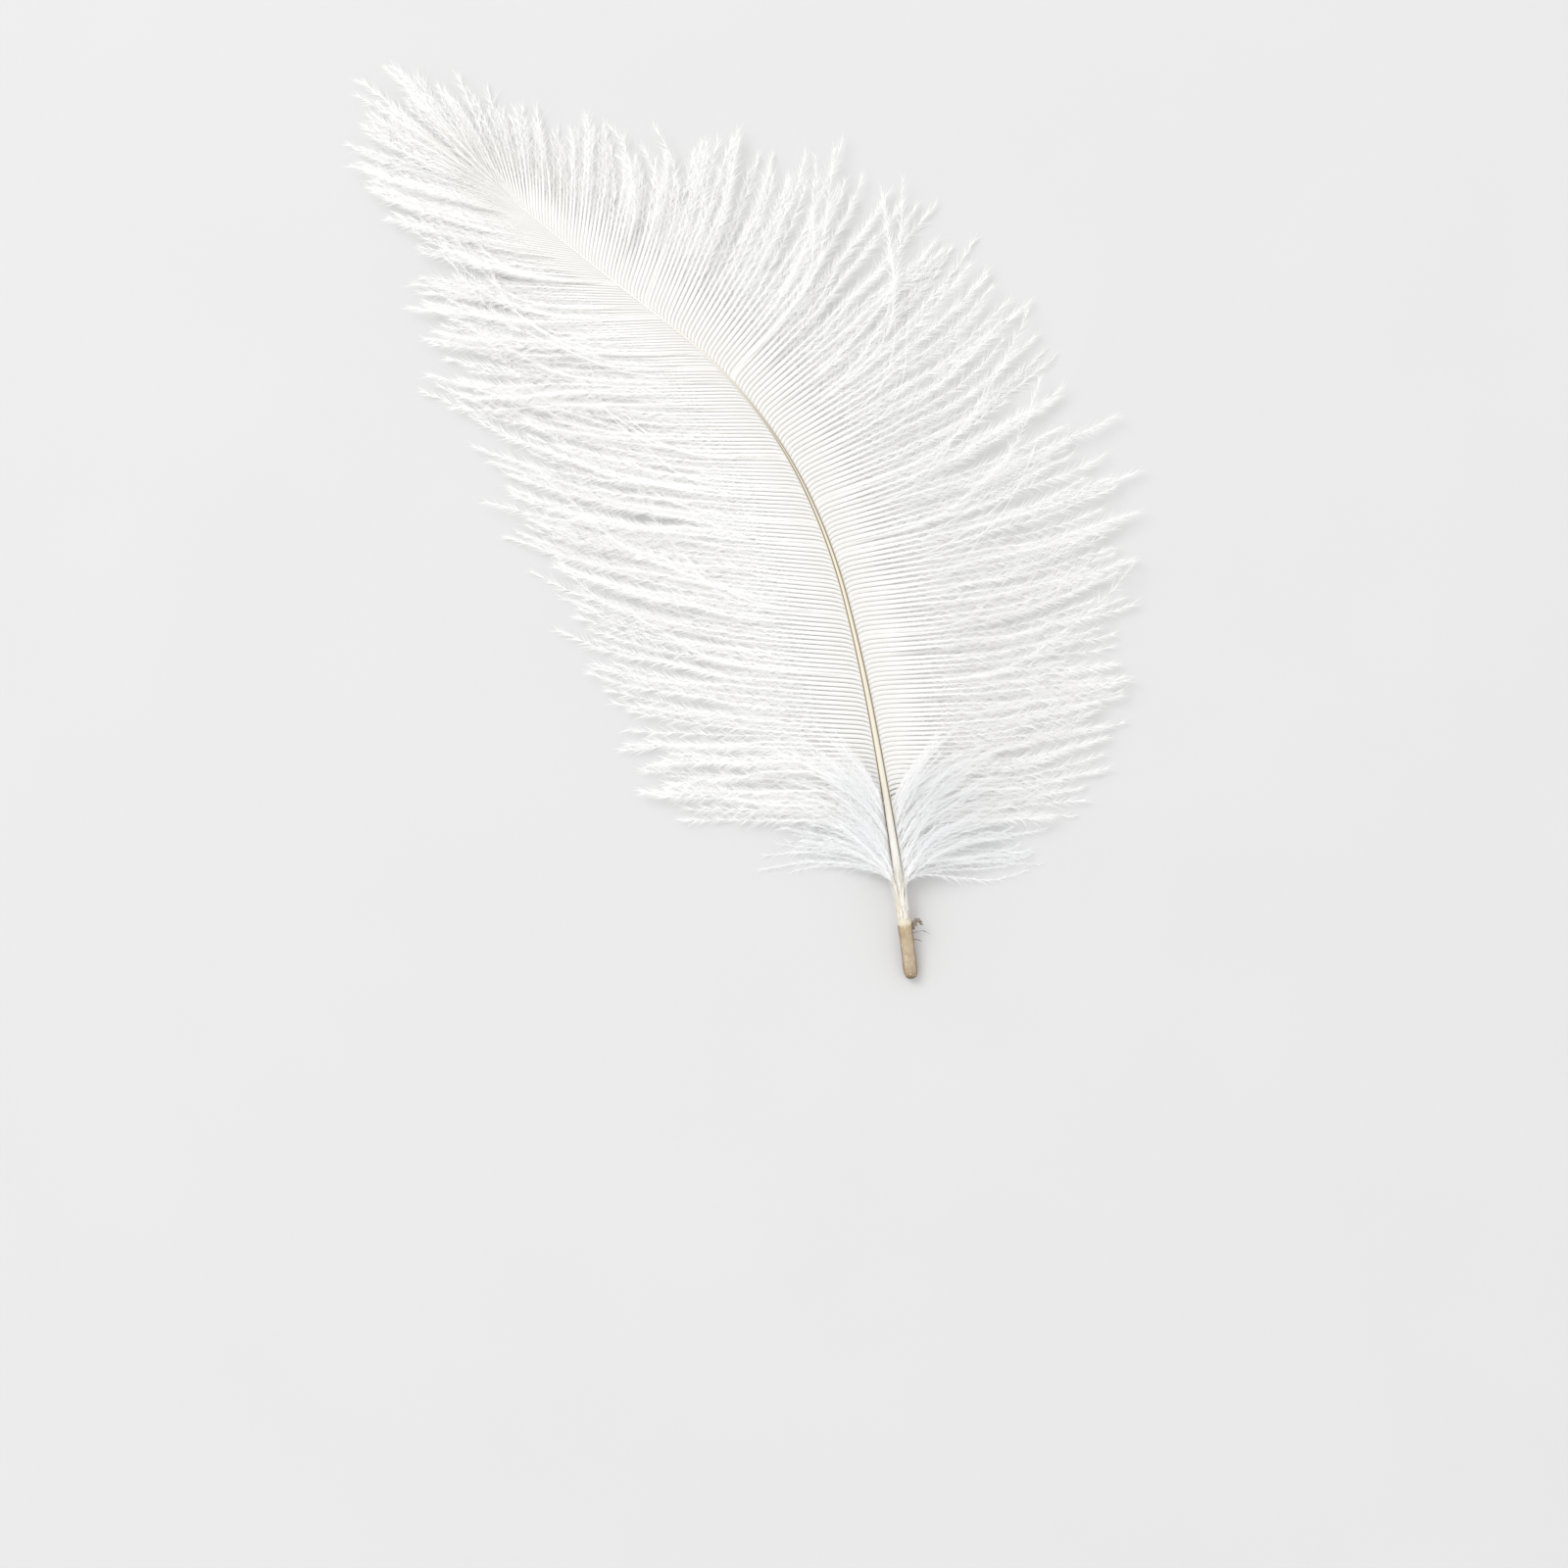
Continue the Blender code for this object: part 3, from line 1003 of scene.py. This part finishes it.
# %% [markdown]
# ## The torn sheath
#
# A growing feather is wrapped in a thin sheath. When it dries, it flakes off, and some papery shreds
# stay on the neck, just above the quill. Each is a thin strip that hugs the neck and lifts off it
# at its upper end.

# %% Shreds on the neck


def make_shreds():
    """Papery strips along the neck, each at its own place around it."""
    rng = np.random.default_rng(31)
    count = 26
    start = rng.uniform(0.0101, 0.0125, count)[:, None]
    end = start + rng.uniform(0.003, 0.009, count)[:, None]
    along = start + (end - start) * SHARES
    around = np.radians(rng.uniform(-15.0, 195.0, count))[:, None]
    around = around + np.radians(rng.normal(0.0, 12.0, count))[:, None] * SHARES
    loose = rng.uniform(0.0001, 0.0011, count)[:, None] * smooth(SHARES, 0.3, 1.0)
    reach = reading(SHAFT_WIDTHS, along) + 0.00004 + loose
    heading = shaft_heading(along)
    middle = shaft_at(along.ravel()).reshape(*along.shape, 3)
    right = np.stack((np.cos(heading), np.sin(heading), np.zeros(along.shape)), -1)
    paths = middle + right * (reach * np.cos(around))[..., None]
    paths[..., 2] += reach * np.sin(around)
    taper = 1.0 - 0.8 * smooth(SHARES, 0.4, 1.0)
    half_width = rng.uniform(0.00006, 0.00016, count)[:, None] * taper
    half_height = np.full(half_width.shape, 0.00002)
    points, faces, _ = strips(paths, half_width, half_height, 0.0)
    tone = np.repeat(rng.random(count), len(SHARES) * 4)
    return joined("sheath_shreds", [(points, faces, tone, tone * 3.0)], shred_white)


# %% [markdown]
# ## Dried flakes
#
# A few flakes have dried brown, and peel away from the quill's shoulder. Each bends over as it
# dries, so its path turns from one direction to another on its way.

# %% Flakes by the quill's shoulder
# Place on the shaft, length, half of the width, and degrees towards the feather's tip at the
# flake's root and at its end
FLAKES = (
    (0.0083, 0.0032, 0.00033, 66.0, -58.0),
    (0.0089, 0.0025, 0.00027, 50.0, -75.0),
    (0.0095, 0.0012, 0.00024, -20.0, -70.0),
    (0.0077, 0.0031, 0.00006, 8.0, -36.0),
    (0.0066, 0.0015, 0.00007, -14.0, -30.0),
)
FLAKE_POINTS = 27


def make_flakes():
    """Dried brown flakes that have peeled away on the right. Their edges are torn at random."""
    rng = np.random.default_rng(4)
    share = np.linspace(0.0, 1.0, FLAKE_POINTS)
    paths, widths = [], []
    for place, length, width, first, last in FLAKES:
        root, heading = shaft_at(np.array(place)), float(shaft_heading(place))
        right = np.array([math.cos(heading), math.sin(heading), 0.0])
        turned = heading + np.radians(first + (last - first) * smooth(share, 0.35, 0.8))
        steps = np.stack((np.cos(turned), np.sin(turned), np.zeros(FLAKE_POINTS)), -1)
        steps *= length / (FLAKE_POINTS - 1)
        edge = root + right * reading(SHAFT_WIDTHS, place) * 0.97
        path = edge + np.cumsum(steps, axis=0) - steps[0]
        path[:, 2] += 0.0005 * np.sin(share * 2.9) + 0.00010 * np.sin(share * 15.0 + place * 9000.0)
        paths.append(path)
        widths.append(width * np.sin(0.7 + 2.2 * share) * rng.uniform(0.4, 1.6, FLAKE_POINTS))
    paths, widths = np.array(paths), np.array(widths)
    points, faces, _ = strips(paths, widths, np.full(widths.shape, 0.00003), 15.0)
    tone = np.repeat(rng.random(len(FLAKES) * FLAKE_POINTS), 4)
    return joined("sheath_flakes", [(points, faces, tone, tone * 2.0)], flake_brown)


for piece in (make_shreds(), make_flakes()):
    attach(piece, "root")
    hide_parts("shaft")

# %% [markdown]
# ## Table
#
# The feather lies on a plain pale table. A faint grain keeps the table from looking empty.

# %% Floor


def make_floor():
    """A plain table top, three metres wide."""
    bm = bmesh.new()
    bmesh.ops.create_grid(bm, x_segments=1, y_segments=1, size=1.5)
    mesh = bpy.data.meshes.new("table_top")
    bm.to_mesh(mesh)
    bm.free()
    floor = bpy.data.objects.new("table_top", mesh)
    bpy.context.collection.objects.link(floor)
    material, tree, surface = new_material("pale table", Metallic=0.0, Roughness=0.9)
    grain = noise(tree, add(tree, "ShaderNodeTexCoord").outputs["Object"], 30.0, 2.0)
    colour = blend_colour(tree, grain, (0.69, 0.69, 0.69), (0.71, 0.71, 0.71))
    tree.links.new(colour, surface.inputs["Base Color"])
    mesh.materials.append(material)


make_floor()

# %% [markdown]
# ## Camera
#
# The camera looks straight down from far off, so that nothing is foreshortened. It is turned so
# that the quill points to the lower right of the picture.

# %% Camera
PICTURE_WIDTH = 0.2672  # metres of table across the square picture
PICTURE_TURN = -32.2  # the picture's upward direction, to the left of +Y
QUILL_IN_PICTURE = (0.0217, -0.0331)  # the quill's end, from the middle of the picture
CAMERA_DISTANCE = 1.1
SENSOR_WIDTH = 36.0  # millimetres

turn = math.radians(PICTURE_TURN)
picture_right = np.array([math.cos(turn), math.sin(turn), 0.0])
picture_up = np.array([-math.sin(turn), math.cos(turn), 0.0])
quill_end = shaft_at(np.array(0.0))
target = quill_end - picture_right * QUILL_IN_PICTURE[0] - picture_up * QUILL_IN_PICTURE[1]
camera_data = bpy.data.cameras.new("camera")
camera_data.sensor_width = SENSOR_WIDTH
camera_data.lens = SENSOR_WIDTH * CAMERA_DISTANCE / PICTURE_WIDTH
camera_data.clip_start = 0.01
camera = bpy.data.objects.new("camera", camera_data)
camera.location = (target[0], target[1], CAMERA_DISTANCE)
camera.rotation_euler = (0.0, 0.0, turn)
bpy.context.collection.objects.link(camera)
bpy.context.scene.camera = camera
print("lens", round(camera_data.lens, 1))

# %% [markdown]
# ## Light
#
# One large soft light from the upper left gives each lock a shaded side. A bright room around it
# keeps the wool white, since most of its brightness is light that went from barb to barb.

# %% Light


def soft_light(name, from_middle, size, watts):
    """A square area light at (right, up, height) from the picture's middle, aimed at it."""
    middle = np.array([target[0], target[1], 0.0])
    across = picture_right * from_middle[0] + picture_up * from_middle[1]
    spot = middle + across + np.array([0.0, 0.0, from_middle[2]])
    data = bpy.data.lights.new(name, "AREA")
    data.size = size
    data.energy = watts
    lamp = bpy.data.objects.new(name, data)
    lamp.location = spot
    lamp.rotation_euler = Vector(spot - middle).to_track_quat("Z", "Y").to_euler()
    bpy.context.collection.objects.link(lamp)


soft_light("key", (-1.1, 1.1, 1.7), 1.2, 20.0)
world = bpy.data.worlds.new("bright room")
world.use_nodes = True
room = world.node_tree.nodes["Background"]
room.inputs["Color"].default_value = (1.0, 1.0, 1.0, 1.0)
room.inputs["Strength"].default_value = 0.93
scene = bpy.context.scene
scene.world = world
scene.view_settings.view_transform = "Standard"
# White wool is bright because light bounces through it many times.
scene.cycles.max_bounces = 12
scene.cycles.diffuse_bounces = 12

# %% [markdown]
# ## Sizes
#
# The barbs reach the edges of the solids that stand in for them in the CAD model, and only a few
# stray ends go past them.
